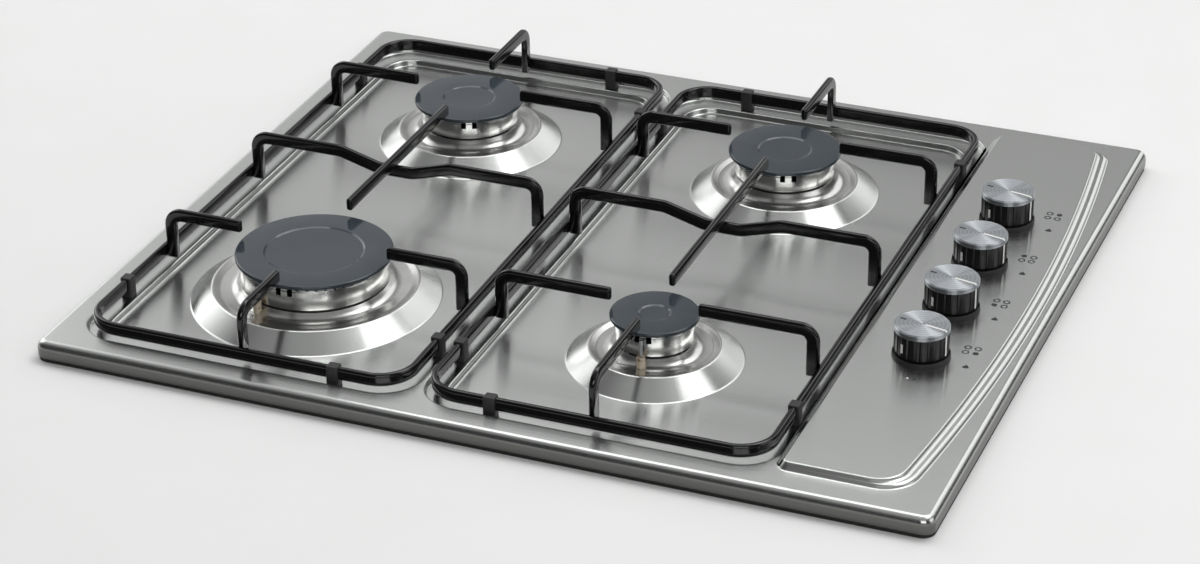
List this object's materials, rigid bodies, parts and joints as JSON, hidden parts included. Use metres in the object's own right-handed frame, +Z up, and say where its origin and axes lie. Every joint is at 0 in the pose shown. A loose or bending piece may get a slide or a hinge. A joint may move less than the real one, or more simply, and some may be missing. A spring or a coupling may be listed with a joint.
{
  "type": "gas cooktop",
  "caption": "Built-in gas hob: pressed steel top with burners, crowns and caps, wire pan supports, turning push knobs on a raised side plateau, taps and pipes in a sheet case.",
  "frame": {"origin": "under the middle of the case, at its underside", "axes": "+X along the front edge towards the knobs, +Y to the back, +Z up"},
  "size_m": [0.58, 0.51, 0.092],
  "materials": {
    "stainless": "brushed stainless sheet with polished burner dishes",
    "galvanised": "galvanised sheet",
    "zinc_steel": "zinc plated",
    "foam": "closed-cell foam",
    "black_rubber": "moulded rubber",
    "black_plastic": "moulded heat-proof plastic",
    "white_plastic": "moulded",
    "brass": "machined",
    "ceramic": "fired",
    "cast_aluminium": "cast",
    "machined_aluminium": "machined bright",
    "spun_aluminium": "spun",
    "grey_enamel": "glossy vitreous enamel",
    "black_enamel": "glossy vitreous enamel"
  },
  "bodies": {
    "root": {"top_panel": "stainless", "edge_seal": "foam", "bottom_case": "galvanised", "worktop_clamps": "galvanised", "machine_screws": "zinc_steel", "case_nuts": "zinc_steel", "injectors": "brass", "electrode_ceramics": "ceramic", "electrode_pins": "zinc_steel", "gas_manifold": "zinc_steel", "inlet_elbow": "brass", "gas_pipes": "cast_aluminium", "pipe_nuts": "brass", "tap_covers": "zinc_steel", "ignition_switches": "black_plastic", "ignition_module": "black_plastic", "ignition_leads": "black_rubber", "knob_seals": "black_rubber", "terminal_block": "white_plastic", "cable_gland": "black_rubber", "burner_cup_front_left": "cast_aluminium", "tap_body_front_left": "cast_aluminium", "burner_cup_rear_left": "cast_aluminium", "tap_body_rear_left": "cast_aluminium", "burner_cup_rear_right": "cast_aluminium", "tap_body_rear_right": "cast_aluminium", "burner_cup_front_right": "cast_aluminium", "tap_body_front_right": "cast_aluminium"},
    "crown_front_left": {"burner_crown_front_left": "machined_aluminium"},
    "cap_front_left": {"burner_cap_front_left": "grey_enamel"},
    "plug_front_left": {"tap_plug_front_left": "brass", "return_spring_front_left": "zinc_steel"},
    "knob_front_left": {"tap_stem_front_left": "zinc_steel", "knob_front_left": "black_plastic", "knob_face_front_left": "spun_aluminium"},
    "crown_rear_left": {"burner_crown_rear_left": "machined_aluminium"},
    "cap_rear_left": {"burner_cap_rear_left": "grey_enamel"},
    "plug_rear_left": {"tap_plug_rear_left": "brass", "return_spring_rear_left": "zinc_steel"},
    "knob_rear_left": {"tap_stem_rear_left": "zinc_steel", "knob_rear_left": "black_plastic", "knob_face_rear_left": "spun_aluminium"},
    "crown_rear_right": {"burner_crown_rear_right": "machined_aluminium"},
    "cap_rear_right": {"burner_cap_rear_right": "grey_enamel"},
    "plug_rear_right": {"tap_plug_rear_right": "brass", "return_spring_rear_right": "zinc_steel"},
    "knob_rear_right": {"tap_stem_rear_right": "zinc_steel", "knob_rear_right": "black_plastic", "knob_face_rear_right": "spun_aluminium"},
    "crown_front_right": {"burner_crown_front_right": "machined_aluminium"},
    "cap_front_right": {"burner_cap_front_right": "grey_enamel"},
    "plug_front_right": {"tap_plug_front_right": "brass", "return_spring_front_right": "zinc_steel"},
    "knob_front_right": {"tap_stem_front_right": "zinc_steel", "knob_front_right": "black_plastic", "knob_face_front_right": "spun_aluminium"},
    "support_left": {"pan_support_left": "black_enamel", "support_feet_left": "black_rubber"},
    "support_right": {"pan_support_right": "black_enamel", "support_feet_right": "black_rubber"}
  },
  "joints": [
    {"name": "crown_lift_front_left", "type": "slide", "parent": "root", "child": "crown_front_left", "axis": [0, 0, 1], "range_m": [0, 0.03]},
    {"name": "cap_lift_front_left", "type": "slide", "parent": "crown_front_left", "child": "cap_front_left", "axis": [0, 0, 1], "range_m": [0, 0.02]},
    {"name": "knob_turn_front_left", "type": "hinge", "parent": "root", "child": "plug_front_left", "pos_m": [0.23, -0.01805, 0.03], "axis": [0, 0, 1], "range_deg": [0, 210]},
    {"name": "knob_push_front_left", "type": "slide", "parent": "plug_front_left", "child": "knob_front_left", "axis": [0, 0, -1], "range_m": [0, 0.0025], "stiffness_N_per_m": 900, "springref_m": -0.003, "deforming": ["return_spring_front_left"]},
    {"name": "crown_lift_rear_left", "type": "slide", "parent": "root", "child": "crown_rear_left", "axis": [0, 0, 1], "range_m": [0, 0.03]},
    {"name": "cap_lift_rear_left", "type": "slide", "parent": "crown_rear_left", "child": "cap_rear_left", "axis": [0, 0, 1], "range_m": [0, 0.02]},
    {"name": "knob_turn_rear_left", "type": "hinge", "parent": "root", "child": "plug_rear_left", "pos_m": [0.23, 0.04585, 0.03], "axis": [0, 0, 1], "range_deg": [0, 210]},
    {"name": "knob_push_rear_left", "type": "slide", "parent": "plug_rear_left", "child": "knob_rear_left", "axis": [0, 0, -1], "range_m": [0, 0.0025], "stiffness_N_per_m": 900, "springref_m": -0.003, "deforming": ["return_spring_rear_left"]},
    {"name": "crown_lift_rear_right", "type": "slide", "parent": "root", "child": "crown_rear_right", "axis": [0, 0, 1], "range_m": [0, 0.03]},
    {"name": "cap_lift_rear_right", "type": "slide", "parent": "crown_rear_right", "child": "cap_rear_right", "axis": [0, 0, 1], "range_m": [0, 0.02]},
    {"name": "knob_turn_rear_right", "type": "hinge", "parent": "root", "child": "plug_rear_right", "pos_m": [0.23, 0.10975, 0.03], "axis": [0, 0, 1], "range_deg": [0, 210]},
    {"name": "knob_push_rear_right", "type": "slide", "parent": "plug_rear_right", "child": "knob_rear_right", "axis": [0, 0, -1], "range_m": [0, 0.0025], "stiffness_N_per_m": 900, "springref_m": -0.003, "deforming": ["return_spring_rear_right"]},
    {"name": "crown_lift_front_right", "type": "slide", "parent": "root", "child": "crown_front_right", "axis": [0, 0, 1], "range_m": [0, 0.03]},
    {"name": "cap_lift_front_right", "type": "slide", "parent": "crown_front_right", "child": "cap_front_right", "axis": [0, 0, 1], "range_m": [0, 0.02]},
    {"name": "knob_turn_front_right", "type": "hinge", "parent": "root", "child": "plug_front_right", "pos_m": [0.23, -0.08195, 0.03], "axis": [0, 0, 1], "range_deg": [0, 210]},
    {"name": "knob_push_front_right", "type": "slide", "parent": "plug_front_right", "child": "knob_front_right", "axis": [0, 0, -1], "range_m": [0, 0.0025], "stiffness_N_per_m": 900, "springref_m": -0.003, "deforming": ["return_spring_front_right"]},
    {"name": "support_lift_left", "type": "slide", "parent": "root", "child": "support_left", "axis": [0, 0, 1], "range_m": [0, 0.08]},
    {"name": "support_lift_right", "type": "slide", "parent": "root", "child": "support_right", "axis": [0, 0, 1], "range_m": [0, 0.08]}
  ]
}
